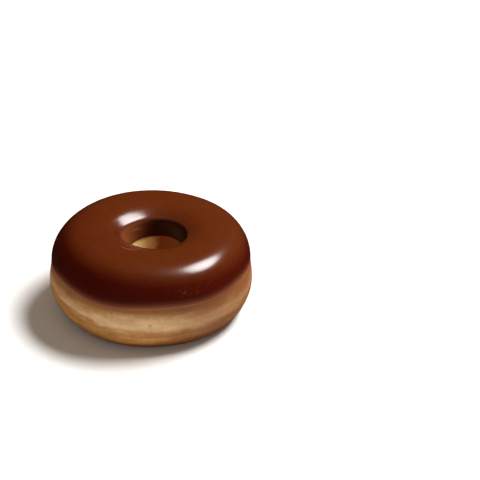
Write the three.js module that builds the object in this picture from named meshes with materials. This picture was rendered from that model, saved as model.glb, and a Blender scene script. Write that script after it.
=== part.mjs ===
// A chocolate iced ring doughnut, in millimetres, +Z up. It stands on its flat foot, with the
// origin on the surface under it, at the middle of its outline.
//
// The dough is one fried ring, wider low down than at the crown, with its hole a little off the
// middle. The icing is a closed skin of its own. It hugs the dough from the edge it was dipped to,
// over the crown, to a second edge part of the way down the hole.
import * as THREE from "three";

// Driving dimensions
const DOUGH_RADIUS = 43.9;
const DOUGH_HEIGHT = 35.8;
const THROAT_RADIUS = 10.8;
const HOLE_SHIFT = 2.7;
const ICING_STAND_OUT = 1.2;
const ICING_CLEARANCE = 0.3;
const ICING_EDGE_HEIGHT = 21.9;
const ICING_HOLE_HEIGHT = 24.4;
const ICING_EDGE_ROUNDING = 1.0;
const ICING_EDGE_TAPER = 7.0;
const ICING_BEAD_PART = 0.35; // share of the edge's depth that is bead, and the rest is taper

// The ring's section is a closed uniform cubic B-spline, and these are its control points. Across
// is a share of the half width, from -1 at the throat to 1 at the girth, and up is a share of the
// height. Points below 0 press the foot flat.
const SECTION = [
  { across: 1.045, up: 0.34 }, // girth
  { across: 0.935, up: 0.71 }, // shoulder
  { across: 0.58, up: 0.985 },
  { across: 0.105, up: 1.015 }, // crown
  { across: -0.3, up: 1.022 },
  { across: -0.545, up: 0.998 },
  { across: -0.755, up: 0.952 }, // lip of the hole
  { across: -0.812, up: 0.935 },
  { across: -0.83, up: 0.895 },
  { across: -0.85, up: 0.8 },
  { across: -0.91, up: 0.64 }, // wall of the hole
  { across: -1.03, up: 0.45 }, // throat
  { across: -0.975, up: 0.2 },
  { across: -0.64, up: -0.03 }, // inner edge of the foot
  { across: -0.05, up: -0.06 },
  { across: 0.64, up: -0.03 }, // outer edge of the foot
  { across: 0.95, up: 0.2 },
];

// Unevenness of the risen ring, as waves round its axis: how many to a turn, how far, and where
// they start. Growth and lift are shares of radius and height, and the edges are in millimetres.
const GROWTH_WAVES = [
  { count: 2, size: 0.0025, start: -2.5 },
  { count: 3, size: 0.0032, start: -0.2 },
  { count: 5, size: 0.0045, start: -2.4 },
];
const LIFT_WAVES = [
  { count: 1, size: 0.003, start: -1.5 },
  { count: 2, size: 0.004, start: 2.9 },
  { count: 4, size: 0.0025, start: 2.5 },
];
const ICING_EDGE_WAVES = [
  { count: 2, size: 0.2, start: 0.8 },
  { count: 6, size: 0.4, start: 3.04 },
];
const ICING_HOLE_WAVES = [
  { count: 2, size: 0.35, start: -2.83 },
  { count: 5, size: 0.15, start: 1.1 },
];

// The hole's wall leans out towards its lip on one side, like a funnel's. The lean grows between
// the two heights, and dies away between the two distances from the axis.
const LEAN = { most: 2.3, azimuth: Math.PI, sharpness: 4, heights: [21, 33], distances: [14.5, 21] };

// Facets
const SIDES = 80;
const DOUGH_STEPS = 44;
const ICING_FACE_STEPS = 20;
const ICING_UNDERSIDE_STEPS = 20;

const RING_RADIUS = (DOUGH_RADIUS + THROAT_RADIUS) / 2;
const HALF_WIDTH = (DOUGH_RADIUS - THROAT_RADIUS) / 2;

function waves(list, azimuth) {
  return list.reduce((sum, wave) => sum + wave.size * Math.cos(wave.count * azimuth + wave.start), 0);
}

// Point of the B-spline at a share of the way round it, before it is sized.
function splinePoint(share) {
  const along = (share - Math.floor(share)) * SECTION.length;
  const first = Math.floor(along);
  const f = along - first;
  const weights = [
    (1 - f) ** 3 / 6,
    (3 * f ** 3 - 6 * f ** 2 + 4) / 6,
    (-3 * f ** 3 + 3 * f ** 2 + 3 * f + 1) / 6,
    f ** 3 / 6,
  ];
  const point = new THREE.Vector2();
  weights.forEach((weight, k) => {
    const control = SECTION[(first + k + SECTION.length - 1) % SECTION.length];
    point.x += weight * control.across;
    point.y += weight * control.up;
  });
  return point;
}

const SPLINE_SAMPLES = 3000;
const splineBox = new THREE.Box2();
for (let i = 0; i < SPLINE_SAMPLES; i += 1) {
  splineBox.expandByPoint(splinePoint(i / SPLINE_SAMPLES));
}
const splineMiddle = (splineBox.max.x + splineBox.min.x) / 2;
const splineReach = (splineBox.max.x - splineBox.min.x) / 2;

// Point of the dough's section: x is the distance from the doughnut's axis, y the height. It
// starts at the girth, climbs over the crown, goes down the hole and comes back along the foot.
function section(share) {
  const point = splinePoint(share);
  return new THREE.Vector2(
    RING_RADIUS + ((point.x - splineMiddle) / splineReach) * HALF_WIDTH,
    (point.y / splineBox.max.y) * DOUGH_HEIGHT,
  );
}

// The same point moved out of the dough along the surface's normal.
function sectionAbove(share, distance) {
  const step = 1e-4;
  const tangent = section(share + step).sub(section(share - step)).normalize();
  return section(share).add(new THREE.Vector2(tangent.y, -tangent.x).multiplyScalar(distance));
}

// Shares of the crown and the throat, and the share between two others that lies at a height.
const CROWN_SHARE = 4 / SECTION.length;
const THROAT_SHARE = 11 / SECTION.length;

function shareAtHeight(height, low, high) {
  let below = low;
  let above = high;
  for (let halving = 0; halving < 40; halving += 1) {
    const middle = (below + above) / 2;
    if (section(middle).y < height) {
      below = middle;
    } else {
      above = middle;
    }
  }
  return above;
}

function leanOut(distance, height, azimuth) {
  const facing = Math.max(Math.cos(azimuth - LEAN.azimuth), 0) ** LEAN.sharpness;
  const upTheWall = THREE.MathUtils.smoothstep(height, ...LEAN.heights);
  const nearTheHole = 1 - THREE.MathUtils.smoothstep(distance, ...LEAN.distances);
  return LEAN.most * facing * upTheWall * nearTheHole;
}

// Turns a point of the section to its azimuth and makes it as uneven as the risen ring.
function place(point, azimuth) {
  const inward = (DOUGH_RADIUS - point.x) / (DOUGH_RADIUS - THROAT_RADIUS);
  const grown = point.x * (1 + waves(GROWTH_WAVES, azimuth));
  const height = Math.max(point.y, 0) * (1 + waves(LIFT_WAVES, azimuth));
  const radius = grown + leanOut(grown, height, azimuth);
  return new THREE.Vector3(
    radius * Math.cos(azimuth) + HOLE_SHIFT * inward,
    radius * Math.sin(azimuth),
    height,
  );
}

// Closed ring swept round +Z. The outline at each azimuth is a closed loop with the same number
// of points, anticlockwise when the axis is on its left.
function sweepRing(outlineAt) {
  const corners = [];
  for (let side = 0; side < SIDES; side += 1) {
    const azimuth = (2 * Math.PI * side) / SIDES;
    outlineAt(azimuth).forEach((point) => corners.push(...place(point, azimuth)));
  }
  const steps = corners.length / 3 / SIDES;
  const faces = [];
  for (let side = 0; side < SIDES; side += 1) {
    for (let step = 0; step < steps; step += 1) {
      const here = side * steps;
      const next = ((side + 1) % SIDES) * steps;
      const onward = (step + 1) % steps;
      faces.push(here + step, next + step, next + onward);
      faces.push(here + step, next + onward, here + onward);
    }
  }
  const geometry = new THREE.BufferGeometry();
  geometry.setAttribute("position", new THREE.Float32BufferAttribute(corners, 3));
  geometry.setIndex(faces);
  geometry.computeVertexNormals();
  return geometry;
}

function doughOutline() {
  return Array.from({ length: DOUGH_STEPS }, (_, step) => section(step / DOUGH_STEPS));
}

// How deep the icing is at a distance from its edge, as a share of its full depth: a small round
// bead at the very edge, and behind it a long taper.
function icingDepth(toEdge) {
  const hollow = Math.max(1 - toEdge / ICING_EDGE_ROUNDING, 0);
  const short = Math.max(1 - toEdge / ICING_EDGE_TAPER, 0);
  const bead = Math.sqrt(1 - hollow ** 2);
  const taper = 1 - short ** 2;
  return taper + (bead - taper) * ICING_BEAD_PART;
}

// Outline of the icing: its face from the outer edge to the edge in the hole, then its underside
// back again.
function icingOutline(azimuth) {
  const outerHeight = ICING_EDGE_HEIGHT + waves(ICING_EDGE_WAVES, azimuth);
  const innerHeight = ICING_HOLE_HEIGHT + waves(ICING_HOLE_WAVES, azimuth);
  const start = shareAtHeight(outerHeight, 0, CROWN_SHARE);
  const end = shareAtHeight(innerHeight, THROAT_SHARE, CROWN_SHARE);
  const skin = ICING_STAND_OUT - ICING_CLEARANCE;
  const outline = [];
  for (let step = 0; step <= ICING_FACE_STEPS; step += 1) {
    const eased = 0.5 - 0.5 * Math.cos((Math.PI * step) / ICING_FACE_STEPS);
    const share = start + (end - start) * eased;
    const here = section(share);
    const toEdge = Math.min(here.distanceTo(section(start)), here.distanceTo(section(end)));
    outline.push(sectionAbove(share, ICING_CLEARANCE + skin * icingDepth(toEdge)));
  }
  for (let step = ICING_UNDERSIDE_STEPS - 1; step > 0; step -= 1) {
    const share = start + ((end - start) * step) / ICING_UNDERSIDE_STEPS;
    outline.push(sectionAbove(share, ICING_CLEARANCE));
  }
  return outline;
}

function piece(name, outlineAt, finish) {
  const mesh = new THREE.Mesh(sweepRing(outlineAt), new THREE.MeshStandardMaterial(finish));
  mesh.name = name;
  return mesh;
}

const doughnut = new THREE.Group();
doughnut.add(
  piece("dough_ring", doughOutline, { color: 0xc0905a, roughness: 0.7, metalness: 0 }),
  piece("chocolate_icing", icingOutline, { color: 0x5a260e, roughness: 0.28, metalness: 0 }),
);

// The unevenness and the shifted hole leave the outline off centre, so all of it is moved back.
const middle = new THREE.Box3().setFromObject(doughnut).getCenter(new THREE.Vector3());
doughnut.children.forEach((mesh) => mesh.geometry.translate(-middle.x, -middle.y, 0));

export default doughnut;
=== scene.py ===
import math

import bpy
from mathutils import Matrix, Vector


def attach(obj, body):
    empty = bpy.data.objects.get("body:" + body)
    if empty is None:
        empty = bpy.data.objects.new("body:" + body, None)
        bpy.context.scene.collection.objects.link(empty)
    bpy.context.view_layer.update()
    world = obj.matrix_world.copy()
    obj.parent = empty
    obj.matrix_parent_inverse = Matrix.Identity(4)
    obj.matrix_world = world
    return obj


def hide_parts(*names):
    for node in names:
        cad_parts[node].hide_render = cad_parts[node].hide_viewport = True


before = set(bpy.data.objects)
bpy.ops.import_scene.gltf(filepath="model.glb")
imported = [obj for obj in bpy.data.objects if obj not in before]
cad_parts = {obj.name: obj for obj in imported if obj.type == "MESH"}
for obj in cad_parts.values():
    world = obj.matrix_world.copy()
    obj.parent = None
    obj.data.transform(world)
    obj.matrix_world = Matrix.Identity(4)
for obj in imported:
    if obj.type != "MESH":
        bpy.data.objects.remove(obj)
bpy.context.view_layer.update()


# The dough ring
# A ring of raised dough, fried on one side and then the other, and cooled on its flat foot. The
# crust is golden brown, with small pits. The belly, which rode above the fat both times, keeps a
# pale band with ragged edges, and its skin is drawn into fine wrinkles.
MM = 0.001
DOUGH_RADIUS = 43.9 * MM
DOUGH_HEIGHT = 35.8 * MM
THROAT_RADIUS = 10.8 * MM
RING_RADIUS = (DOUGH_RADIUS + THROAT_RADIUS) / 2
HALF_WIDTH = (DOUGH_RADIUS - THROAT_RADIUS) / 2
HOLE_SHIFT = 2.7 * MM

# Control points of the section, a closed B-spline: shares of the half width and of the height.
# It starts at the middle of the foot, so its seam is on the floor.
SECTION = (
    (-0.05, -0.06),
    (0.64, -0.03),  # outer edge of the foot
    (0.95, 0.2),
    (1.045, 0.34),  # girth
    (0.935, 0.71),  # shoulder
    (0.58, 0.985),
    (0.105, 1.015),  # crown
    (-0.3, 1.022),
    (-0.545, 0.998),
    (-0.755, 0.952),  # lip of the hole
    (-0.812, 0.935),
    (-0.83, 0.895),
    (-0.85, 0.8),
    (-0.91, 0.64),  # wall of the hole
    (-1.03, 0.45),  # throat
    (-0.975, 0.2),
    (-0.64, -0.03),  # inner edge of the foot
)

# Unevenness as waves round the axis: how many to a turn, how far, and where they start.
GROWTH_WAVES = ((2, 0.0025, -2.5), (3, 0.0032, -0.2), (5, 0.0045, -2.4))
LIFT_WAVES = ((1, 0.003, -1.5), (2, 0.004, 2.9), (4, 0.0025, 2.5))

# The hole's wall leans out towards its lip on one side, like a funnel's. The lean grows between
# the two heights, and dies away between the two distances from the axis.
LEAN_MOST = 2.3 * MM
LEAN_AZIMUTH = math.pi
LEAN_SHARPNESS = 4.0
LEAN_HEIGHTS = (21.0 * MM, 33.0 * MM)
LEAN_DISTANCES = (14.5 * MM, 21.0 * MM)

# The pale band. The first of the two fades of its low edge holds on the left and the second, a
# softer one, on the right. The band is palest in front on the left and darker towards the right,
# which is painted shade.
BAND_LOW_WAVES = ((1, 1.2 * MM, 4.54), (2, 0.6 * MM, 6.04), (5, 0.35 * MM, 1.0))
BAND_HIGH_WAVES = ((3, 1.3 * MM, -1.31), (7, 0.25 * MM, 0.4))
BAND_LOW_RAGGED = 6.0 * MM
BAND_HIGH_RAGGED = -4.0 * MM
BAND_LOW_FADES = (-0.4 * MM, -2.6 * MM)
BAND_LOW_FADE_PLACES = (-26.0 * MM, -8.0 * MM)
BAND_LOW_FULL = 0.6 * MM
BAND_HIGH_FADE = (-3.4 * MM, 3.0 * MM)
PALENESS = 0.71
PALENESS_AND_SHADE_WAVES = ((1, 0.32, 2.3),)
SIDE_SLANT = -0.5
BAND_SHADE_SIDE = (28.0 * MM, 44.0 * MM)
BAND_SHADE_SHARE = 0.4

# The skin inside the hole, between two distances from the axis, which is coloured as painted shade,
# and the bare patch on its wall, which is coloured as painted light.
HOLE_SKIN = (16.0 * MM, 20.0 * MM)
PATCH_RAGGED = 0.5
PATCH_FADE = 0.16
PATCH_HEIGHTS = (12.0 * MM, 18.0 * MM)

# Noises of the relief: how fine, how many layers of detail, and how rough.
RAGGED_NOISE = (260.0, 4.0, 0.6)
LUMP_NOISE = (55.0, 1.0, 0.5)
WRINKLE_NOISE = (520.0, 3.0, 0.55)
RAGGED_SEED = 3.0
WRINKLE_SEED = 7.0
DRAWN_OUT = 0.35  # share of its fineness that a noise keeps in level directions
PIT_EDGE = (0.05, 0.16)  # in cells, from where a pit is deepest to where it ends
RELIEF_HEIGHTS = (0.3 * MM, 3.0 * MM)  # the relief grows between these, so the foot stays flat

AROUND = 430
DOUGH_ALONG = 214
JOINING_DISTANCE = 0.01 * MM


def add_node(tree, kind, inputs=(), **settings):
    """Adds a node, sets its properties, and links or sets its inputs, by name or number."""
    node = tree.nodes.new(kind)
    for name, value in settings.items():
        setattr(node, name, value)
    for key, value in dict(inputs).items():
        if isinstance(value, bpy.types.NodeSocket):
            tree.links.new(value, node.inputs[key])
        else:
            node.inputs[key].default_value = value
    return node


def calc(tree, operation, *values, clamp=False):
    """Result of a Math node on numbers or sockets."""
    node = add_node(tree, "ShaderNodeMath", enumerate(values), operation=operation, use_clamp=clamp)
    return node.outputs[0]


def plus(tree, one, other, clamp=False):
    """Sum of two numbers or sockets."""
    return calc(tree, "ADD", one, other, clamp=clamp)


def minus(tree, one, other, clamp=False):
    """The first number or socket less the second."""
    return calc(tree, "SUBTRACT", one, other, clamp=clamp)


def times(tree, first, *others):
    """Product of numbers or sockets."""
    for other in others:
        first = calc(tree, "MULTIPLY", first, other)
    return first


def times_plus(tree, value, factor, added, clamp=False):
    """The value times a factor, and something added."""
    return calc(tree, "MULTIPLY_ADD", value, factor, added, clamp=clamp)


def vector(tree, x, y, z):
    """Vector joined from three numbers or sockets."""
    return add_node(tree, "ShaderNodeCombineXYZ", {"X": x, "Y": y, "Z": z}).outputs[0]


def parts(tree, place):
    """The x, y and z sockets of a vector socket."""
    return add_node(tree, "ShaderNodeSeparateXYZ", {0: place}).outputs


def flat_length(tree, x, y):
    """How far a point is from the middle, seen from above."""
    return calc(tree, "SQRT", times_plus(tree, x, x, times(tree, y, y)))


def smooth_step(tree, value, low, high, to_low=0.0, to_high=1.0):
    """Eases from to_low, where value is low, to to_high, where it is high."""
    inputs = {"Value": value, "From Min": low, "From Max": high, "To Min": to_low, "To Max": to_high}
    return add_node(tree, "ShaderNodeMapRange", inputs, interpolation_type="SMOOTHSTEP").outputs[0]


def noise(tree, place, scale, detail, roughness, seed):
    """Noise between about 0 and 1. The seed picks a slice of the four-dimensional pattern."""
    inputs = {"Vector": place, "W": seed, "Scale": scale, "Detail": detail, "Roughness": roughness}
    return add_node(tree, "ShaderNodeTexNoise", inputs, noise_dimensions="4D").outputs["Fac"]


def to_both_sides(tree, found, height):
    """Turns a noise into a height, half of it above the surface and half below."""
    return times(tree, minus(tree, found, 0.5), height)


def waves(tree, azimuth, terms):
    """Sum of cosine waves round the axis, in the form of the tables above."""
    total = 0.0
    for count, size, start in terms:
        angle = times_plus(tree, azimuth, float(count), start)
        total = times_plus(tree, calc(tree, "COSINE", angle), size, total)
    return total


def new_tree(name, kind, inputs, outputs):
    """Node tree with named inputs {name: (type, value)} and outputs {name: type}."""
    tree = bpy.data.node_groups.new(name, kind)
    for label, (socket, value) in inputs.items():
        item = tree.interface.new_socket(label, in_out="INPUT", socket_type="NodeSocket" + socket)
        if value is not None:
            item.default_value = value
    for label, socket in outputs.items():
        tree.interface.new_socket(label, in_out="OUTPUT", socket_type="NodeSocket" + socket)
    return tree, tree.nodes.new("NodeGroupInput").outputs, tree.nodes.new("NodeGroupOutput")


def section_curve():
    """The dough's section as a closed curve: x is the distance from the axis, z the height."""
    data = bpy.data.curves.new("dough_section", "CURVE")
    data.dimensions = "3D"
    spline = data.splines.new("NURBS")
    spline.points.add(len(SECTION) - 1)
    spline.order_u = 4
    spline.use_cyclic_u = True
    spline.resolution_u = 32
    curve = bpy.data.objects.new("dough_section", data)
    bpy.context.scene.collection.objects.link(curve)
    for point, (across, up) in zip(spline.points, SECTION):
        point.co = (across, 0, up, 1)
    traced = curve.to_mesh()
    reach = [corner.co.x for corner in traced.vertices]
    top = max(corner.co.z for corner in traced.vertices)
    curve.to_mesh_clear()
    middle, half = (max(reach) + min(reach)) / 2, (max(reach) - min(reach)) / 2
    for point, (across, up) in zip(spline.points, SECTION):
        radius = RING_RADIUS + (across - middle) / half * HALF_WIDTH
        point.co = (radius, 0, up / top * DOUGH_HEIGHT, 1)
    return curve


def point_of_ring():
    """Group that finds a point of the uneven ring: Share runs along the section by length, and
    Above moves the point out of the dough along the section's normal."""
    inputs = {
        "Section": ("Object", None),
        "Share": ("Float", 0.0),
        "Above": ("Float", 0.0),
        "Azimuth": ("Float", 0.0),
        "Hole Shift": ("Float", HOLE_SHIFT),
    }
    outputs = {"Position": "Vector"}
    tree, given, result = new_tree("point of the ring", "GeometryNodeTree", inputs, outputs)
    azimuth = given["Azimuth"]
    outline = add_node(tree, "GeometryNodeObjectInfo", {"Object": given["Section"]}).outputs["Geometry"]
    sample = {"Curves": outline, "Factor": given["Share"]}
    on_section = add_node(tree, "GeometryNodeSampleCurve", sample, mode="FACTOR", use_all_curves=True)
    here = parts(tree, on_section.outputs["Position"])
    along = parts(tree, on_section.outputs["Tangent"])
    radius = times_plus(tree, along["Z"], given["Above"], here["X"])
    height = minus(tree, here["Z"], times(tree, along["X"], given["Above"]))
    inward = minus(tree, DOUGH_RADIUS, radius)
    inward = calc(tree, "DIVIDE", inward, DOUGH_RADIUS - THROAT_RADIUS)
    grown = times_plus(tree, radius, waves(tree, azimuth, GROWTH_WAVES), radius)
    height = calc(tree, "MAXIMUM", height, 0.0)
    height = times_plus(tree, height, waves(tree, azimuth, LIFT_WAVES), height)

    facing = calc(tree, "COSINE", minus(tree, azimuth, LEAN_AZIMUTH))
    facing = calc(tree, "POWER", calc(tree, "MAXIMUM", facing, 0.0), LEAN_SHARPNESS)
    up_the_wall = smooth_step(tree, height, *LEAN_HEIGHTS, 0.0, LEAN_MOST)
    near_the_hole = smooth_step(tree, grown, *LEAN_DISTANCES, 1.0, 0.0)
    radius = plus(tree, grown, times(tree, facing, up_the_wall, near_the_hole))

    x = times(tree, radius, calc(tree, "COSINE", azimuth))
    x = times_plus(tree, inward, given["Hole Shift"], x)
    y = times(tree, radius, calc(tree, "SINE", azimuth))
    tree.links.new(vector(tree, x, y, height), result.inputs["Position"])
    return tree


def ring_sheet(tree, given):
    """Flat grid that becomes a ring, with the azimuth of each point and its share of the section."""
    counts = {"Size X": 1.0, "Size Y": 1.0}
    counts["Vertices X"] = plus(tree, given["Around"], 1.0)
    counts["Vertices Y"] = plus(tree, given["Along"], 1.0)
    grid = add_node(tree, "GeometryNodeMeshGrid", counts).outputs["Mesh"]
    flat = parts(tree, tree.nodes.new("GeometryNodeInputPosition").outputs[0])
    azimuth = times(tree, plus(tree, flat["X"], 0.5), math.tau)
    return grid, azimuth, plus(tree, flat["Y"], 0.5)


def bend_to_ring(tree, grid, place_group, places):
    """Moves each point of the flat grid to its place on the ring, and joins the grid's edges."""
    place = add_node(tree, "GeometryNodeGroup", places, node_tree=place_group).outputs["Position"]
    moved = {"Geometry": grid, "Position": place}
    geometry = add_node(tree, "GeometryNodeSetPosition", moved).outputs[0]
    joined = {"Geometry": geometry, "Distance": JOINING_DISTANCE}
    return add_node(tree, "GeometryNodeMergeByDistance", joined).outputs[0]


def finish_ring(tree, geometry, result, given):
    """Smooth faces, real geometry and the material: the end of each ring's tree."""
    geometry = add_node(tree, "GeometryNodeSetShadeSmooth", {0: geometry}).outputs[0]
    geometry = add_node(tree, "GeometryNodeRealizeInstances", {0: geometry}).outputs[0]
    inputs = {"Geometry": geometry, "Material": given["Material"]}
    finished = add_node(tree, "GeometryNodeSetMaterial", inputs).outputs[0]
    tree.links.new(finished, result.inputs["Geometry"])


def swell(tree, geometry, height):
    """Moves the surface out along its normals."""
    normal = tree.nodes.new("GeometryNodeInputNormal").outputs["Normal"]
    inputs = {0: normal, "Scale": height}
    offset = add_node(tree, "ShaderNodeVectorMath", inputs, operation="SCALE").outputs[0]
    return add_node(tree, "GeometryNodeSetPosition", {"Geometry": geometry, "Offset": offset}).outputs[0]


def keep(tree, geometry, name, value):
    """Stores a value at each point for the material to read."""
    inputs = {"Geometry": geometry, "Name": name, "Value": value}
    return add_node(tree, "GeometryNodeStoreNamedAttribute", inputs, domain="POINT").outputs[0]


def make_ring(name, tree, values):
    """Plain mesh object made by a tree, whose inputs are given by name."""
    ring = bpy.data.objects.new(name, bpy.data.meshes.new(name))
    modifier = ring.modifiers.new("shape", "NODES")
    modifier.node_group = tree
    for item in tree.interface.items_tree:
        if item.in_out == "INPUT" and item.name in values:
            modifier[item.identifier] = values[item.name]
    bpy.context.scene.collection.objects.link(ring)
    shaped = ring.evaluated_get(bpy.context.evaluated_depsgraph_get())
    mesh = bpy.data.meshes.new_from_object(shaped)
    ring.modifiers.remove(modifier)
    mesh.name = name
    ring.data = mesh
    return ring


def pale_band(tree, given, x, y, z, ragged):
    """How pale the belly is: full between two ragged edges, and darker towards one side as painted
    shade.
    """
    turn = calc(tree, "ARCTAN2", y, x)
    low_edge = plus(tree, given["Band Low Edge"], waves(tree, turn, BAND_LOW_WAVES))
    low_edge = times_plus(tree, ragged, BAND_LOW_RAGGED, low_edge)
    high_edge = plus(tree, given["Band High Edge"], waves(tree, turn, BAND_HIGH_WAVES))
    high_edge = times_plus(tree, ragged, BAND_HIGH_RAGGED, high_edge)
    fade = smooth_step(tree, x, *BAND_LOW_FADE_PLACES, *BAND_LOW_FADES)
    above_low = smooth_step(tree, minus(tree, z, low_edge), fade, BAND_LOW_FULL)
    below_high = smooth_step(tree, minus(tree, high_edge, z), *BAND_HIGH_FADE)
    # Painted shade: the paleness waves and the fade on the right side darken the band there.
    paleness = plus(tree, waves(tree, turn, PALENESS_AND_SHADE_WAVES), PALENESS)
    side = times_plus(tree, y, SIDE_SLANT, x)
    band_shade = smooth_step(tree, side, *BAND_SHADE_SIDE, 1.0, BAND_SHADE_SHARE)
    return times(tree, above_low, below_high, paleness, band_shade)


def lit_bare_patch(tree, given, x, y, z, ragged):
    """Where the hole's wall shows bare dough in painted light: a ragged patch on one side, above the
    throat.
    """
    off_patch = minus(tree, calc(tree, "ARCTAN2", y, x), given["Lit Patch Turn"])
    off_patch = calc(tree, "ABSOLUTE", off_patch)
    off_patch = times_plus(tree, ragged, PATCH_RAGGED, off_patch)
    beyond = minus(tree, off_patch, given["Lit Patch Reach"])
    patch = smooth_step(tree, beyond, -PATCH_FADE, PATCH_FADE, 1.0, 0.0)
    return times(tree, patch, smooth_step(tree, z, *PATCH_HEIGHTS))


def dough_tree(place_group):
    """The dough: the whole section swept round, with lumps, wrinkles, pits and the band's step."""
    inputs = {
        "Section": ("Object", None),
        "Around": ("Int", AROUND),
        "Along": ("Int", DOUGH_ALONG),
        "Lump Height": ("Float", 0.35 * MM),
        "Wrinkle Height": ("Float", 0.12 * MM),
        "Band Low Edge": ("Float", 14.4 * MM),
        "Band High Edge": ("Float", 16.8 * MM),
        "Band Step": ("Float", 0.16 * MM),
        "Pit Cells": ("Float", 180.0),
        "Pit Depth": ("Float", 0.25 * MM),
        "Lit Patch Turn": ("Float", 2.05),
        "Lit Patch Reach": ("Float", 0.62),
        "Seed": ("Float", 0.0),
        "Material": ("Material", None),
    }
    tree, given, result = new_tree("dough ring", "GeometryNodeTree", inputs, {"Geometry": "Geometry"})
    grid, azimuth, share = ring_sheet(tree, given)
    places = {"Section": given["Section"], "Share": share, "Azimuth": azimuth}
    geometry = bend_to_ring(tree, grid, place_group, places)

    here = tree.nodes.new("GeometryNodeInputPosition").outputs[0]
    x, y, z = parts(tree, here)
    drawn = vector(tree, times(tree, x, DRAWN_OUT), times(tree, y, DRAWN_OUT), z)
    ragged = noise(tree, drawn, *RAGGED_NOISE, plus(tree, given["Seed"], RAGGED_SEED))
    ragged = minus(tree, ragged, 0.5)
    in_hole = smooth_step(tree, flat_length(tree, x, y), *HOLE_SKIN, 1.0, 0.0)
    pale = pale_band(tree, given, x, y, z, ragged)
    # In the hole the dough is painted shade, except on the bare patch, which is painted light.
    pale = times(tree, pale, minus(tree, 1.0, in_hole))
    pale = times_plus(tree, lit_bare_patch(tree, given, x, y, z, ragged), in_hole, pale)
    geometry = keep(tree, geometry, "pale", pale)
    geometry = keep(tree, geometry, "inside", in_hole)

    lumps = noise(tree, here, *LUMP_NOISE, given["Seed"])
    lumps = to_both_sides(tree, lumps, given["Lump Height"])
    wrinkles = noise(tree, drawn, *WRINKLE_NOISE, plus(tree, given["Seed"], WRINKLE_SEED))
    wrinkles = to_both_sides(tree, wrinkles, given["Wrinkle Height"])
    cells = {"Vector": here, "W": given["Seed"], "Scale": given["Pit Cells"]}
    cells = add_node(tree, "ShaderNodeTexVoronoi", cells, voronoi_dimensions="4D")
    pit = smooth_step(tree, cells.outputs["Distance"], *PIT_EDGE, 1.0, 0.0)
    geometry = keep(tree, geometry, "pit", pit)
    sunk = times_plus(tree, pit, given["Pit Depth"], times(tree, pale, given["Band Step"]))
    relief = minus(tree, plus(tree, lumps, wrinkles), sunk)
    off_floor = smooth_step(tree, z, *RELIEF_HEIGHTS)
    geometry = swell(tree, geometry, times(tree, relief, off_floor))
    finish_ring(tree, geometry, result, given)
    return tree


def coordinates(tree):
    """Place on the doughnut, in metres, for a material."""
    return tree.nodes.new("ShaderNodeTexCoord").outputs["Object"]


def kept(tree, name):
    """Value that the mesh keeps at each point, for a material."""
    return add_node(tree, "ShaderNodeAttribute", attribute_name=name).outputs["Fac"]


def ring_streaks():
    """Shader group: noise drawn out round the axis, as frying and dipping draw out a skin."""
    inputs = {
        "Stretch": ("Float", 4.0),
        "Scale": ("Float", 300.0),
        "Detail": ("Float", 3.0),
        "Seed": ("Float", 0.0),
    }
    outputs = {"Streaks": "Float"}
    tree, given, result = new_tree("streaks round the ring", "ShaderNodeTree", inputs, outputs)
    x, y, z = parts(tree, coordinates(tree))
    squeeze = calc(tree, "DIVIDE", 1.0, given["Stretch"])
    place = vector(tree, times(tree, x, squeeze), times(tree, y, squeeze), z)
    inputs = {"Vector": place, "Scale": given["Scale"], "Detail": given["Detail"], "W": given["Seed"]}
    found = add_node(tree, "ShaderNodeTexNoise", inputs, noise_dimensions="4D").outputs["Fac"]
    tree.links.new(found, result.inputs["Streaks"])
    return tree


def streaks_in(tree, group, stretch, scale, seed):
    """The streaks of the shared group, at a stretch, a fineness and a seed."""
    inputs = {"Stretch": stretch, "Scale": scale, "Seed": seed}
    return add_node(tree, "ShaderNodeGroup", inputs, node_tree=group).outputs["Streaks"]


def new_material(name, **shader):
    """Material whose shader has these plain values. Returns it with its tree and its shader."""
    material = bpy.data.materials.new(name)
    material.use_nodes = True
    principled = material.node_tree.nodes["Principled BSDF"]
    for key, value in shader.items():
        principled.inputs[key.replace("_", " ")].default_value = value
    return material, material.node_tree, principled


def blend_colour(tree, factor, low, high):
    """Mix of two colours, each three numbers or a socket."""
    node = add_node(tree, "ShaderNodeMix", {"Factor": factor}, data_type="RGBA")
    for key, colour in (("A", low), ("B", high)):
        socket = [one for one in node.inputs if one.name == key and one.type == "RGBA"][0]
        if isinstance(colour, bpy.types.NodeSocket):
            tree.links.new(colour, socket)
        else:
            socket.default_value = (*colour, 1)
    return [one for one in node.outputs if one.type == "RGBA"][0]


CRUST_COLOUR = (0.47, 0.2, 0.048)
CRUST_DARK = (0.26, 0.085, 0.013)
# Darker crust round the foot, also used as painted shade over the right side.
CRUST_FOOT_AND_SHADE = (0.19, 0.052, 0.011)
CRUST_LIGHT = (0.62, 0.32, 0.1)
BAND_COLOUR = (0.64, 0.4, 0.185)
BAND_CREAM = (0.76, 0.52, 0.28)
# The dough inside the hole: painted shade, and painted light on its bare patch.
HOLE_CRUST_SHADE = (0.36, 0.1, 0.016)
HOLE_BARE_LIT = (0.97, 0.66, 0.25)

# Streaks of the colour: how far they are drawn out, how fine, and which seed. Noises: how fine, how
# many layers, how rough and which seed. Each has the range in which it shows, and most have the
# part of the second colour that they bring.
CRUST_STREAKS = (5.0, 420.0, 1.0)
STREAK_RANGE = (0.35, 0.65)
BLOTCH_NOISE, BLOTCH_RANGE, BLOTCH_PART = (90.0, 3.0, 0.55, 4.0), (0.35, 0.7), 0.35
MOTTLE_NOISE, MOTTLE_RANGE, MOTTLE_PART = (420.0, 4.0, 0.7, 6.0), (0.4, 0.66), 0.34
BELLY_MOTTLE_PART = 0.42
SPECK_NOISE, SPECK_RANGE, SPECK_PART = (700.0, 2.0, 0.5, 9.0), (0.68, 0.78), 0.5
PIT_DARKNESS = 0.7
GRAIN_NOISE, GRAIN_STRENGTH, GRAIN_DEPTH = (1500.0, 4.0, 0.6, 2.0), 0.25, 0.15 * MM
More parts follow.
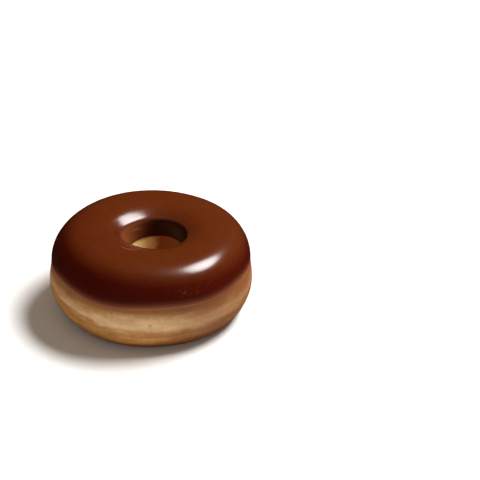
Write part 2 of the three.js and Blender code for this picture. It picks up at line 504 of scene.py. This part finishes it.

# Darkening: just under the icing, which is browning together with painted shade under the icing's
# edge, and low down by the foot. Painted shade covers the right side, where the dark band by the
# foot also reaches higher. The sole of the foot stays lighter.
UPPER_HEIGHTS, UPPER_BROWN_AND_SHADE = (17.0 * MM, 21.5 * MM), 0.8
SHADED_SIDE, SIDE_SHADE = (14.0 * MM, 42.0 * MM), 0.7
FOOT_HEIGHTS, FOOT_DARKENING = (0.8 * MM, 6.6 * MM), 0.95
FOOT_RISE_IN_SHADE = 4.0 * MM
SOLE_HEIGHTS, SOLE_SHARE = (0.0, 0.5 * MM), 0.35


def dark_foot_and_side_shade(tree, x, y, z):
    """How far the crust is darkened round the foot, and by painted shade on the right side, from 0 to 1.
    """
    side = smooth_step(tree, times_plus(tree, y, SIDE_SLANT, x), *SHADED_SIDE)
    low = times_plus(tree, side, -FOOT_RISE_IN_SHADE, z)
    low = smooth_step(tree, low, *FOOT_HEIGHTS, FOOT_DARKENING, 0.0)
    low = times(tree, low, smooth_step(tree, z, *SOLE_HEIGHTS, SOLE_SHARE, 1.0))
    return calc(tree, "MAXIMUM", low, times(tree, side, SIDE_SHADE))


def fried_dough(streaks_group):
    """Streaked and mottled crust, darker high and low, with painted shade under the icing, on one side
    and in the hole, a pale belly, a bare patch in painted light, dark pits, and a fine grain.
    """
    material, tree, skin = new_material("fried_dough", Roughness=0.52, IOR=1.4, Subsurface_Weight=0.12)
    skin.inputs["Subsurface Radius"].default_value = (2.0, 0.9, 0.4)
    skin.inputs["Subsurface Scale"].default_value = 1.0 * MM
    place = coordinates(tree)
    x, y, z = parts(tree, place)
    inside = kept(tree, "inside")
    streak = smooth_step(tree, streaks_in(tree, streaks_group, *CRUST_STREAKS), *STREAK_RANGE)
    blotches = smooth_step(tree, noise(tree, place, *BLOTCH_NOISE), *BLOTCH_RANGE)
    mottles = smooth_step(tree, noise(tree, place, *MOTTLE_NOISE), *MOTTLE_RANGE)

    crust = blend_colour(tree, streak, CRUST_COLOUR, CRUST_LIGHT)
    crust = blend_colour(tree, times(tree, blotches, BLOTCH_PART), crust, CRUST_DARK)
    crust = blend_colour(tree, times(tree, mottles, MOTTLE_PART), crust, CRUST_DARK)
    # Browning with painted shade just under the icing's edge.
    upper = smooth_step(tree, z, *UPPER_HEIGHTS, 0.0, UPPER_BROWN_AND_SHADE)
    crust = blend_colour(tree, upper, crust, CRUST_DARK)
    # Darker round the foot, and painted shade over the right side.
    crust = blend_colour(tree, dark_foot_and_side_shade(tree, x, y, z), crust, CRUST_FOOT_AND_SHADE)
    # Painted shade inside the hole.
    crust = blend_colour(tree, inside, crust, HOLE_CRUST_SHADE)

    belly = blend_colour(tree, streak, BAND_COLOUR, BAND_CREAM)
    belly = blend_colour(tree, times(tree, mottles, BELLY_MOTTLE_PART), belly, CRUST_LIGHT)
    # Painted light on the bare patch in the hole.
    belly = blend_colour(tree, inside, belly, HOLE_BARE_LIT)
    colour = blend_colour(tree, kept(tree, "pale"), crust, belly)

    specks = smooth_step(tree, noise(tree, place, *SPECK_NOISE), *SPECK_RANGE, 0.0, SPECK_PART)
    specks = times_plus(tree, kept(tree, "pit"), PIT_DARKNESS, specks, clamp=True)
    colour = blend_colour(tree, specks, colour, CRUST_DARK)
    tree.links.new(colour, skin.inputs["Base Color"])

    grain = noise(tree, place, *GRAIN_NOISE)
    grain = {"Height": grain, "Strength": GRAIN_STRENGTH, "Distance": GRAIN_DEPTH}
    tree.links.new(add_node(tree, "ShaderNodeBump", grain).outputs[0], skin.inputs["Normal"])
    return material


section = section_curve()
ring_point = point_of_ring()
streaks_round_ring = ring_streaks()
dough = make_ring("fried_dough_ring", dough_tree(ring_point), {
    "Section": section,
    "Material": fried_dough(streaks_round_ring),
})
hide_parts("dough_ring")
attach(dough, "root")


# The chocolate icing
# The doughnut was dipped upside down in warm chocolate icing and turned up to set. The icing is
# about a millimetre thick, ends in a rounded bead low on the side, and runs part of the way down
# the hole to a second bead. It set with a soft gloss.
ICING_STAND_OUT = 1.2 * MM
ICING_SINK = 0.3 * MM
ICING_EDGE_HEIGHT = 21.9 * MM
ICING_HOLE_HEIGHT = 24.4 * MM
ICING_EDGE_ROUNDING = 1.0 * MM
ICING_EDGE_TAPER = 7.0 * MM
ICING_BEAD_PART = 0.35
ICING_EDGE_WAVES = ((2, 0.2 * MM, 0.8), (6, 0.4 * MM, 3.04))
ICING_HOLE_WAVES = ((2, 0.35 * MM, -2.83), (5, 0.15 * MM, 1.1))
ICING_ALONG = 214
ICING_FACE_PART = 0.86
FACE_EASING = 0.5  # how far the face's rows are crowded towards its two edges
THIN_SHARPNESS = 3.0
SWELL_NOISE = (60.0, 1.0, 0.5)

# How steep the icing stands at each place, as the upward part of its normal: from the wall of the
# hole to its lip, and over the lip to the crown.
WALL_TILTS = (0.3, 0.65)
LIP_START, LIP_END = (0.5, 0.68), (0.72, 0.86)
TOP_TILTS = (0.3, 0.6)

# Marks that the icing set with: how far round and how high each one is, how far it runs, and how
# wide it is. The fold beside the hole goes round its own middle, and the other two round the axis.
# Each mark is also coloured lighter as a painted highlight.
FOLD_MIDDLE = (-7.2 * MM, -13.0 * MM)
FOLD_RADIUS = 5.9 * MM
FOLD_TURN, FOLD_REACH, FOLD_WIDTH = math.radians(-110), math.radians(64), 0.75 * MM
RUN_TURN, RUN_REACH, RUN_WIDTH = math.radians(126), math.radians(20), 1.2 * MM
RUN_HEIGHT = 30.0 * MM
RIPPLE_TURN, RIPPLE_REACH, RIPPLE_WIDTH = math.radians(-67), math.radians(20), 2.2 * MM
RIPPLE_HEIGHT = 28.2 * MM
RIPPLE_NOISE, RIPPLE_RANGE, RIPPLE_PART = (900.0, 2.0, 0.5), (0.46, 0.68), 0.45
RIPPLE_DRAWN_OUT = 0.5
RIPPLE_SEED = 5.0


def edge_shares(curve):
    """Length shares of the section where it passes the icing's outer and inner edge heights, how
    fast it climbs at each edge, and the section's whole length."""
    traced = curve.to_mesh()
    places = [corner.co.copy() for corner in traced.vertices]
    curve.to_mesh_clear()
    places.append(places[0])
    length = [0.0]
    for before, after in zip(places, places[1:]):
        length.append(length[-1] + (after - before).length)
    found = {}
    edges = (("outer", ICING_EDGE_HEIGHT), ("inner", ICING_HOLE_HEIGHT))
    for name, height in edges:
        for i in range(len(places) - 1):
            low, high = places[i], places[i + 1]
            side = "outer" if low.x > RING_RADIUS else "inner"
            crosses = (low.z - height) * (high.z - height) <= 0 and low.z != high.z
            if crosses and side == name:
                part = (height - low.z) / (high.z - low.z)
                share = (length[i] + part * (length[i + 1] - length[i])) / length[-1]
                climb = (high.z - low.z) / (length[i + 1] - length[i])
                found[name] = (share, climb)
    return found, length[-1]


def hump(tree, off, width):
    """1 where off is nothing, easing to 0 where it is the width or more, to either side."""
    return smooth_step(tree, calc(tree, "ABSOLUTE", off), 0.0, width, 1.0, 0.0)


def arc_mark(tree, x, y, turn, reach):
    """Share of a mark that is left at a place round the middle of its arc."""
    return hump(tree, minus(tree, calc(tree, "ARCTAN2", y, x), turn), reach)


def icing_marks(tree, here, outside, in_hole, seed):
    """How far each place stands up in a mark, from 0 to 1: the fold, the run and the ripples."""
    x, y, z = parts(tree, here)
    fold_x = minus(tree, x, FOLD_MIDDLE[0])
    fold_y = minus(tree, y, FOLD_MIDDLE[1])
    off_fold = minus(tree, flat_length(tree, fold_x, fold_y), FOLD_RADIUS)
    fold = times(tree, hump(tree, off_fold, FOLD_WIDTH), outside)
    fold = times(tree, fold, arc_mark(tree, fold_x, fold_y, FOLD_TURN, FOLD_REACH))
    run = times(tree, hump(tree, minus(tree, z, RUN_HEIGHT), RUN_WIDTH), in_hole)
    run = times(tree, run, arc_mark(tree, x, y, RUN_TURN, RUN_REACH))
    drawn = vector(tree, times(tree, x, RIPPLE_DRAWN_OUT), times(tree, y, RIPPLE_DRAWN_OUT), z)
    ripples = noise(tree, drawn, *RIPPLE_NOISE, seed)
    ripples = smooth_step(tree, ripples, *RIPPLE_RANGE, 0.0, RIPPLE_PART)
    near = hump(tree, minus(tree, z, RIPPLE_HEIGHT), RIPPLE_WIDTH)
    near = times(tree, near, arc_mark(tree, x, y, RIPPLE_TURN, RIPPLE_REACH))
    return times_plus(tree, ripples, near, plus(tree, fold, run))


def share_of_section(tree, given, azimuth, loop, edges, section_length):
    """Where each point of the grid lies on the section: its share, its distances along the section
    from the outer and the inner edge, and 1 where it is on the icing's face."""
    outer, outer_climb = edges["outer"]
    inner, inner_climb = edges["inner"]
    outer_move = waves(tree, azimuth, ICING_EDGE_WAVES)
    outer_move = calc(tree, "DIVIDE", outer_move, outer_climb * section_length)
    inner_move = waves(tree, azimuth, ICING_HOLE_WAVES)
    inner_move = calc(tree, "DIVIDE", inner_move, inner_climb * section_length)
    start = plus(tree, outer_move, outer)
    end = plus(tree, inner_move, inner)
    on_face = calc(tree, "LESS_THAN", loop, given["Face Part"])
    over = calc(tree, "DIVIDE", loop, given["Face Part"])
    eased = calc(tree, "COSINE", times(tree, over, math.pi))
    eased = times_plus(tree, eased, -0.5, 0.5)
    over = plus(tree, times(tree, over, 1.0 - FACE_EASING), times(tree, eased, FACE_EASING))
    under = calc(tree, "DIVIDE", minus(tree, 1.0, loop), minus(tree, 1.0, given["Face Part"]))
    inputs = {"Factor": on_face, 2: under, 3: over}
    part = add_node(tree, "ShaderNodeMix", inputs, data_type="FLOAT").outputs[0]
    share = times_plus(tree, part, minus(tree, end, start), start)
    from_outer = times(tree, minus(tree, share, start), section_length)
    from_inner = times(tree, minus(tree, end, share), section_length)
    return share, from_outer, from_inner, on_face


def height_over_dough(tree, given, from_outer, from_inner, on_face):
    """How far each point stands out of the dough: a round bead at each edge with a long taper
    behind it, and the underside, which is sunk a little."""
    to_edge = calc(tree, "MINIMUM", from_outer, from_inner)
    hollow = calc(tree, "DIVIDE", to_edge, given["Edge Rounding"])
    hollow = minus(tree, 1.0, hollow, clamp=True)
    bead = minus(tree, 1.0, times(tree, hollow, hollow), clamp=True)
    bead = calc(tree, "SQRT", bead)
    short = calc(tree, "DIVIDE", to_edge, given["Edge Taper"])
    short = minus(tree, 1.0, short, clamp=True)
    taper = minus(tree, 1.0, times(tree, short, short))
    depth = times(tree, minus(tree, bead, taper), given["Bead Part"])
    depth = times(tree, plus(tree, taper, depth), on_face)
    full = plus(tree, given["Stand Out"], given["Sink"])
    return minus(tree, times(tree, depth, full), given["Sink"])


def thin_and_reflecting_edges(tree, given, from_outer, from_inner):
    """How thin the icing is near its two edges, from 0 to 1. On the outer edge the lighter colour it
    brings is partly a painted reflection.
    """
    behind_outer = calc(tree, "DIVIDE", from_outer, given["Thin Reflecting Edge"])
    behind_inner = calc(tree, "DIVIDE", from_inner, given["Thin Hole Edge"])
    thin = calc(tree, "MINIMUM", behind_outer, behind_inner)
    thin = minus(tree, 1.0, thin, clamp=True)
    return calc(tree, "POWER", thin, THIN_SHARPNESS)


def icing_tree(place_group, edges, section_length):
    """The icing: a face that stands out of the dough between its two edges, closed underneath."""
    inputs = {
        "Section": ("Object", None),
        "Around": ("Int", AROUND),
        "Along": ("Int", ICING_ALONG),
        "Face Part": ("Float", ICING_FACE_PART),
        "Stand Out": ("Float", ICING_STAND_OUT),
        "Sink": ("Float", ICING_SINK),
        "Edge Rounding": ("Float", ICING_EDGE_ROUNDING),
        "Edge Taper": ("Float", ICING_EDGE_TAPER),
        "Bead Part": ("Float", ICING_BEAD_PART),
        "Thin Reflecting Edge": ("Float", 5.2 * MM),
        "Thin Hole Edge": ("Float", 1.2 * MM),
        "Lip Highlight": ("Float", 0.14),
        "Mark Highlight": ("Float", 0.35),
        "Mark Height": ("Float", 0.16 * MM),
        "Swell Height": ("Float", 0.12 * MM),
        "Seed": ("Float", 20.0),
        "Material": ("Material", None),
    }
    tree, given, result = new_tree("icing", "GeometryNodeTree", inputs, {"Geometry": "Geometry"})
    grid, azimuth, loop = ring_sheet(tree, given)
    found = share_of_section(tree, given, azimuth, loop, edges, section_length)
    share, from_outer, from_inner, on_face = found
    above = height_over_dough(tree, given, from_outer, from_inner, on_face)
    grid = keep(tree, grid, "thin", thin_and_reflecting_edges(tree, given, from_outer, from_inner))
    places = {"Section": given["Section"], "Share": share, "Above": above, "Azimuth": azimuth}
    geometry = bend_to_ring(tree, grid, place_group, places)

    here = tree.nodes.new("GeometryNodeInputPosition").outputs[0]
    swells = noise(tree, here, *SWELL_NOISE, given["Seed"])
    geometry = swell(tree, geometry, to_both_sides(tree, swells, given["Swell Height"]))

    x, y, _ = parts(tree, here)
    by_hole = calc(tree, "LESS_THAN", flat_length(tree, x, y), DOUGH_RADIUS / 2)
    up = parts(tree, tree.nodes.new("GeometryNodeInputNormal").outputs["Normal"])["Z"]
    past_start = smooth_step(tree, up, *LIP_START)
    before_end = smooth_step(tree, up, *LIP_END, 1.0, 0.0)
    lip = times(tree, past_start, before_end, by_hole)
    inside = times(tree, smooth_step(tree, up, *WALL_TILTS, 1.0, 0.0), by_hole)
    geometry = keep(tree, geometry, "inside", inside)

    thin = add_node(tree, "GeometryNodeInputNamedAttribute", {"Name": "thin"}, data_type="FLOAT")
    # Painted highlight along the hole's lip.
    thin = times_plus(tree, lip, given["Lip Highlight"], thin.outputs[0], clamp=True)
    outside = smooth_step(tree, up, *TOP_TILTS)
    marks = icing_marks(tree, here, outside, by_hole, plus(tree, given["Seed"], RIPPLE_SEED))
    # Painted highlights along the marks.
    thin = times_plus(tree, marks, given["Mark Highlight"], thin, clamp=True)
    geometry = keep(tree, geometry, "thin", thin)
    geometry = swell(tree, geometry, times(tree, marks, given["Mark Height"]))
    finish_ring(tree, geometry, result, given)
    return tree


ICING_COLOUR = (0.0862, 0.0163, 0.0025)
# Painted shade low down, also used for streaks and clouds of tone; then painted light and painted shade
# inside the hole.
ICING_COLOUR_SHADE_AND_TONE = (0.056, 0.003, 0.0003)
ICING_COLOUR_HOLE_LIT = (0.2, 0.056, 0.018)
ICING_COLOUR_HOLE_SHADE = (0.026, 0.0012, 0.0002)
# Lighter where the icing is thin: partly the dough showing through, partly painted reflection and
# painted highlights.
ICING_COLOUR_THIN_AND_SHEEN = (0.34, 0.115, 0.05)
ICING_ROUGHNESS = 0.21

# The icing's colour is darker low down as painted shade, which begins a little lower on the right
# than on the left; streaks and clouds of real tone add the same dark colour. Inside the hole the
# icing is lighter as painted light, and darkest on the right wall as painted shade, where it is
# also less smooth.
ICING_STREAKS, STREAK_PART = (2.0, 120.0, 30.0), 0.2
SHADE_SLANT = 0.06
SHADE_HEIGHTS = (29.5 * MM, 36.5 * MM)
CLOUD_NOISE, CLOUD_RANGE, CLOUD_PART = (260.0, 4.0, 0.65, 31.0), (0.4, 0.65), 0.14
SHADED_WALL_SLANT, SHADED_WALL_PLACES, SHADED_WALL_ROUGHENING = 0.4, (-5.0 * MM, 8.0 * MM), 0.25


def chocolate_icing(streaks_group):
    """Brown over the crown, with painted shade down the sides and painted light and shade in the hole.
    Its thin edges are lighter, partly the dough showing through and partly a painted reflection, and the
    lip and marks carry painted highlights.
    """
    material, tree, shell = new_material("chocolate_icing", Roughness=ICING_ROUGHNESS, IOR=1.42)
    place = coordinates(tree)
    x, y, z = parts(tree, place)
    in_hole = kept(tree, "inside")
    level = times_plus(tree, x, SHADE_SLANT, z)
    # Painted shade: darker low down the sides and higher up on the left, with streaks and clouds of real
    # tone.
    shade_and_tone = smooth_step(tree, level, *SHADE_HEIGHTS, 1.0, 0.0)
    streaks = minus(tree, streaks_in(tree, streaks_group, *ICING_STREAKS), 0.5)
    shade_and_tone = times_plus(tree, streaks, STREAK_PART, shade_and_tone, clamp=True)
    clouds = smooth_step(tree, noise(tree, place, *CLOUD_NOISE), *CLOUD_RANGE, 0.0, CLOUD_PART)
    shade_and_tone = plus(tree, shade_and_tone, clouds, clamp=True)
    shade_and_tone = times(tree, shade_and_tone, minus(tree, 1.0, in_hole))
    colour = blend_colour(tree, shade_and_tone, ICING_COLOUR, ICING_COLOUR_SHADE_AND_TONE)
    # Painted light on the icing inside the hole.
    colour = blend_colour(tree, in_hole, colour, ICING_COLOUR_HOLE_LIT)
    # Painted shade on the hole's right wall, which is also rougher.
    shaded_wall = smooth_step(tree, times_plus(tree, y, SHADED_WALL_SLANT, x), *SHADED_WALL_PLACES)
    shaded_wall = times(tree, shaded_wall, in_hole)
    colour = blend_colour(tree, shaded_wall, colour, ICING_COLOUR_HOLE_SHADE)
    # Thin edges partly show the dough; the rest is painted reflection and painted highlights on lip and
    # marks.
    colour = blend_colour(tree, kept(tree, "thin"), colour, ICING_COLOUR_THIN_AND_SHEEN)
    tree.links.new(colour, shell.inputs["Base Color"])
    roughness = times_plus(tree, shaded_wall, SHADED_WALL_ROUGHENING, ICING_ROUGHNESS)
    tree.links.new(roughness, shell.inputs["Roughness"])
    return material


icing_edges, section_length = edge_shares(section)
icing = make_ring("set_chocolate_icing", icing_tree(ring_point, icing_edges, section_length), {
    "Section": section,
    "Material": chocolate_icing(streaks_round_ring),
})
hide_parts("chocolate_icing")
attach(icing, "root")
bpy.data.objects.remove(section)


# The table
# A plain white table top, far wider than the view.
TABLE_HALF = 3.0
TABLE_COLOUR = (0.86, 0.85, 0.84, 1)


def table_top():
    """One flat face under the doughnut."""
    material, _, top = new_material("white_table", Base_Color=TABLE_COLOUR, Roughness=0.8)
    top.inputs["Specular IOR Level"].default_value = 0.1
    mesh = bpy.data.meshes.new("table_top")
    corners = [(x * TABLE_HALF, y * TABLE_HALF, 0) for x, y in ((-1, -1), (1, -1), (1, 1), (-1, 1))]
    mesh.from_pydata(corners, [], [(0, 1, 2, 3)])
    mesh.materials.append(material)
    table = bpy.data.objects.new("table_top", mesh)
    bpy.context.scene.collection.objects.link(table)
    return table


table = table_top()
table.visible_glossy = False


# The light
# A soft lamp behind and to the right, a window beside it that shows only in the icing's gloss, a
# weak wide lamp low in front, and a dim pale room.
TARGET = Vector((0, 0, 21 * MM))
LAMP_DISTANCE = 0.9
WINDOW_SPREAD = math.radians(70)
ROOM_LIGHT = 0.213
ROOM_REFLECTION = 0.012
ROOM_COLOUR = (1.0, 0.85, 0.68)
WHITE = (1.0, 1.0, 1.0)


def soft_lamp(name, direction, width, height, power):
    """Oval lamp that faces the doughnut from a direction."""
    light = bpy.data.lights.new(name, "AREA")
    light.shape = "ELLIPSE"
    light.size, light.size_y = width, height
    light.energy = power
    lamp = bpy.data.objects.new(name, light)
    lamp.location = TARGET + direction * LAMP_DISTANCE
    lamp.rotation_euler = direction.to_track_quat("Z", "Y").to_euler()
    bpy.context.scene.collection.objects.link(lamp)
    return lamp


def toward(turn, rise):
    """Direction at a turn clockwise from +Y and a rise above the table, both in degrees."""
    turn, rise = math.radians(turn), math.radians(rise)
    level = math.cos(rise)
    return Vector((math.sin(turn) * level, math.cos(turn) * level, math.sin(rise))).normalized()


key = soft_lamp("key", toward(62, 57), width=0.6, height=0.3, power=15.0)
key.visible_glossy = False
window = soft_lamp("window", toward(70, 58.5), width=0.68, height=0.4, power=3.0)
window.data.spread = WINDOW_SPREAD
window.visible_diffuse = False
fill = soft_lamp("fill", toward(205, 12), width=0.9, height=0.9, power=1.6)
fill.visible_glossy = False

world = bpy.data.worlds.new("room")
bpy.context.scene.world = world
world.use_nodes = True
air = world.node_tree
background = air.nodes["Background"]
ray = air.nodes.new("ShaderNodeLightPath").outputs
strength = times_plus(air, ray["Is Camera Ray"], 1.0 - ROOM_LIGHT, ROOM_LIGHT)
strength = times_plus(air, ray["Is Glossy Ray"], ROOM_REFLECTION - ROOM_LIGHT, strength)
air.links.new(strength, background.inputs["Strength"])
room_colour = blend_colour(air, ray["Is Camera Ray"], ROOM_COLOUR, WHITE)
air.links.new(room_colour, background.inputs["Color"])
bpy.context.scene.view_settings.view_transform = "Standard"


# The camera
# It looks along +Y and down, with a long lens. The middle of the doughnut shows at a set point of
# the square frame, and the scale there fixes how far off the camera stands.
FRAME_PIXELS = 480
CAMERA_DOWN, CAMERA_ROLL = math.radians(31.0), math.radians(-0.5)
TARGET_PIXEL = (151.2, 258.85)
PIXELS_PER_MM = 2.312
LENS, SENSOR = 120.0, 36.0
NEAREST = 0.01


def basis(forward, up):
    """Turn whose first axis is forward and whose second is up, squared to it."""
    up = (up - forward * up.dot(forward)).normalized()
    return Matrix((forward, up, forward.cross(up))).transposed()


def camera():
    """Camera that shows the target at its pixel, at the scale and roll above."""
    focal = LENS / SENSOR * FRAME_PIXELS
    middle = FRAME_PIXELS / 2
    right = (TARGET_PIXEL[0] - middle) / focal
    up = -(TARGET_PIXEL[1] - middle) / focal
    in_view = Vector((right, up, -1)).normalized()
    to_target = Vector((0, math.cos(CAMERA_DOWN), -math.sin(CAMERA_DOWN)))
    rolled = Vector((math.sin(CAMERA_ROLL), math.cos(CAMERA_ROLL), 0))
    turn = basis(to_target, Vector((0, 0, 1))) @ basis(in_view, rolled).transposed()
    lens = bpy.data.cameras.new("camera")
    lens.lens, lens.sensor_width, lens.clip_start = LENS, SENSOR, NEAREST
    eye = bpy.data.objects.new("camera", lens)
    distance = focal / PIXELS_PER_MM * MM
    eye.matrix_world = Matrix.Translation(TARGET - to_target * distance) @ turn.to_4x4()
    bpy.context.scene.collection.objects.link(eye)
    return eye


bpy.context.scene.camera = camera()
